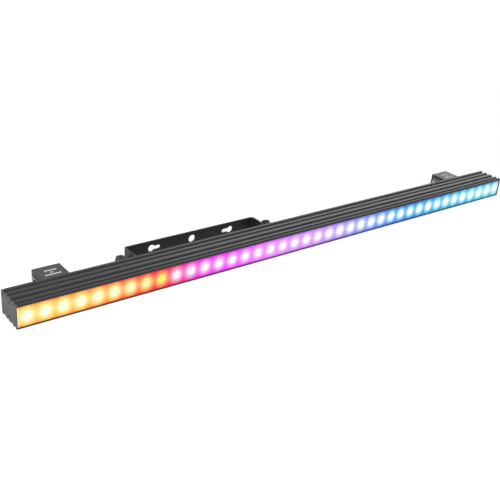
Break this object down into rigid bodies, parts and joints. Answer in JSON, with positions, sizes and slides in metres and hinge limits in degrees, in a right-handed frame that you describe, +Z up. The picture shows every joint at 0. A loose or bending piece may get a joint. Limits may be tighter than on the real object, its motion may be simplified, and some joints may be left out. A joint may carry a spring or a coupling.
{
  "type": "led strip batten",
  "caption": "Straight stage light bar with a row of colour pixels behind a flat lens, ribbed body, connector boxes near its ends and a tilting yoke that slides along its back.",
  "frame": {"origin": "middle of the body's length and depth, at the tips of the bottom ribs", "axes": "+X along the batten, +Y from the lens to the back, +Z up"},
  "size_m": [1, 0.0923, 0.036],
  "materials": {
    "black_anodised": "satin black anodised",
    "black_steel": "fine black powder coat",
    "lens": "lightly frosted clear polycarbonate, lit from behind",
    "silicone": "matte silicone",
    "white_plastic": "matte white moulding",
    "led_board": "white solder mask",
    "led_package": "clear encapsulant",
    "driver_board": "green solder mask",
    "black_plastic": "moulded black plastic",
    "capacitor_can": "sleeved aluminium can",
    "zinc_steel": "bright zinc plate",
    "black_screw": "black oxide",
    "black_nickel": "satin black nickel plate",
    "contact_gold": "gold flash",
    "lead_jacket": "matte black jacket",
    "friction_disc": "fibre friction disc",
    "knob_plastic": "grained black moulding"
  },
  "bodies": {
    "batten": {"housing": "black_anodised", "left_end_cap": "black_anodised", "right_end_cap": "black_anodised", "left_connector_box": "black_anodised", "right_connector_box": "black_anodised", "left_box_cover": "black_anodised", "right_box_cover": "black_anodised", "front_lens": "lens", "lens_seals": "silicone", "left_cap_gasket": "silicone", "right_cap_gasket": "silicone", "left_reflector": "white_plastic", "right_reflector": "white_plastic", "lead_headers": "white_plastic", "left_led_board": "led_board", "right_led_board": "led_board", "left_pixel_leds": "led_package", "right_pixel_leds": "led_package", "left_driver_board": "driver_board", "right_driver_board": "driver_board", "board_links": "black_plastic", "driver_chips": "black_plastic", "input_socket_insert": "black_plastic", "output_socket_insert": "black_plastic", "driver_capacitors": "capacitor_can", "led_board_screws": "zinc_steel", "driver_board_screws": "zinc_steel", "box_nut_bars": "zinc_steel", "box_mount_screws": "zinc_steel", "socket_screws": "zinc_steel", "cap_screws": "black_screw", "box_cover_screws": "black_screw", "input_socket_shell": "black_nickel", "output_socket_shell": "black_nickel", "input_socket_pins": "contact_gold", "output_socket_contacts": "contact_gold", "input_lead": "lead_jacket", "output_lead": "lead_jacket"},
    "carriage": {"carriage_bracket": "black_steel", "carriage_t_nuts": "zinc_steel", "carriage_screws": "black_screw", "pivot_nuts": "black_screw", "friction_washers": "friction_disc"},
    "yoke": {"yoke": "black_steel"},
    "left_knob": {"left_knob": "knob_plastic", "left_knob_stud": "black_screw", "left_knob_washer": "black_screw"},
    "right_knob": {"right_knob": "knob_plastic", "right_knob_stud": "black_screw", "right_knob_washer": "black_screw"}
  },
  "joints": [
    {"name": "carriage_slide", "type": "slide", "parent": "batten", "child": "carriage", "axis": [1, 0, 0], "range_m": [-0.08, 0.42]},
    {"name": "yoke_tilt", "type": "hinge", "parent": "carriage", "child": "yoke", "pos_m": [-0.1754, 0.0475, 0.018], "axis": [1, 0, 0], "range_deg": [-100, 100]},
    {"name": "left_knob_turn", "type": "hinge", "parent": "carriage", "child": "left_knob", "pos_m": [-0.3109, 0.0475, 0.018], "axis": [-1, 0, 0], "range_deg": [0, 360]},
    {"name": "right_knob_turn", "type": "hinge", "parent": "carriage", "child": "right_knob", "pos_m": [-0.0399, 0.0475, 0.018], "axis": [1, 0, 0], "range_deg": [0, 360]}
  ]
}
